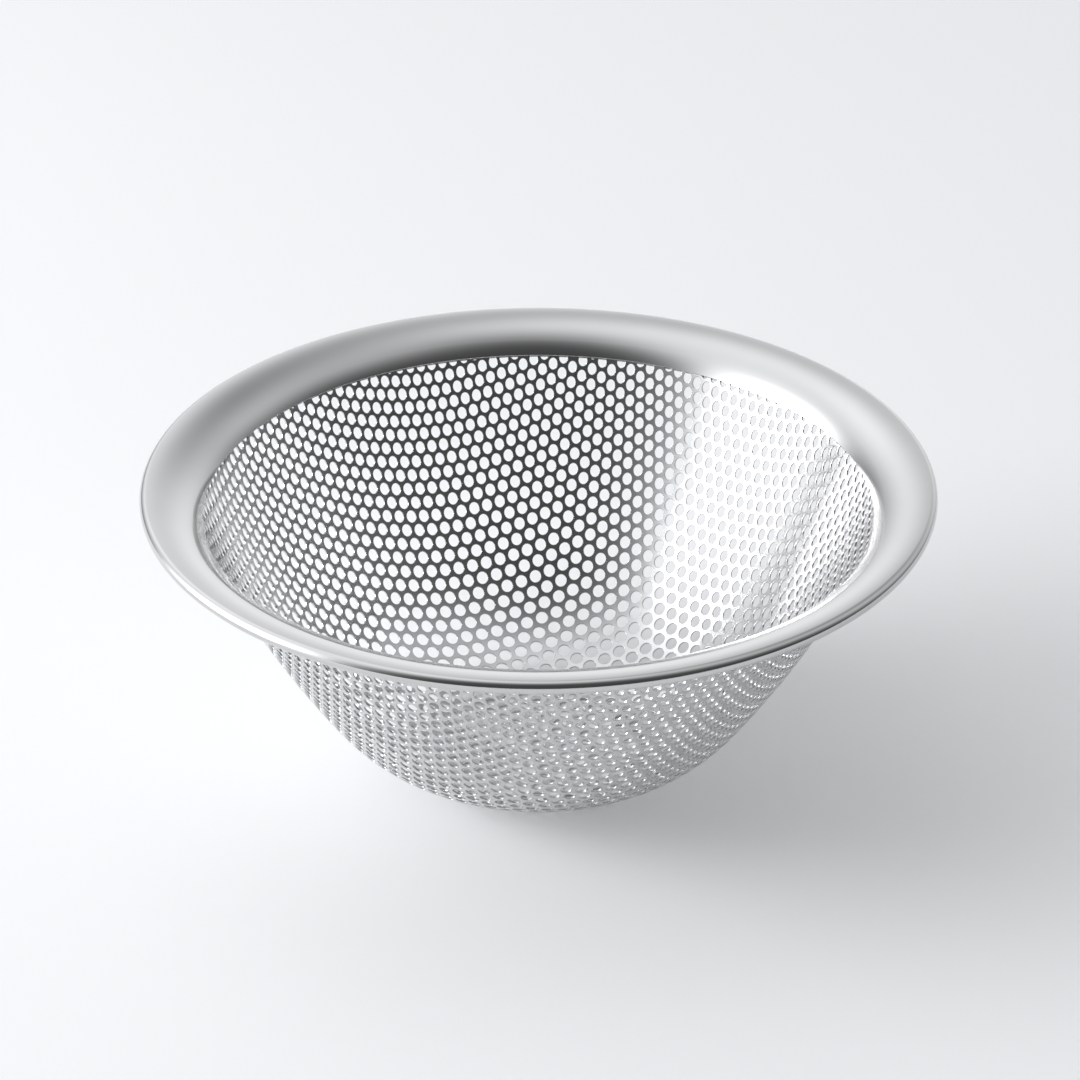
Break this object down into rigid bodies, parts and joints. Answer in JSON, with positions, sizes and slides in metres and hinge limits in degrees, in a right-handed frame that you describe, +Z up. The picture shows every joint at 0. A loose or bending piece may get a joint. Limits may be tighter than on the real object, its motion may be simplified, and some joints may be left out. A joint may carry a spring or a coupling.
{
  "type": "punched steel draining bowl",
  "caption": "Round bowl of punched steel sheet with a flat base and a plain flared rim with a rolled edge, for draining curd and other food.",
  "frame": {"origin": "on the bowl's axis at its flat resting face", "axes": "+Z up along the bowl's axis of symmetry, out of its mouth"},
  "size_m": [0.178, 0.178, 0.0705],
  "materials": {
    "punched_steel": "satin",
    "rim_steel": "satin"
  },
  "bodies": {
    "root": {"perforated_bowl": "punched_steel", "rim_flange": "rim_steel", "clamp_ring": "rim_steel"}
  },
  "joints": []
}
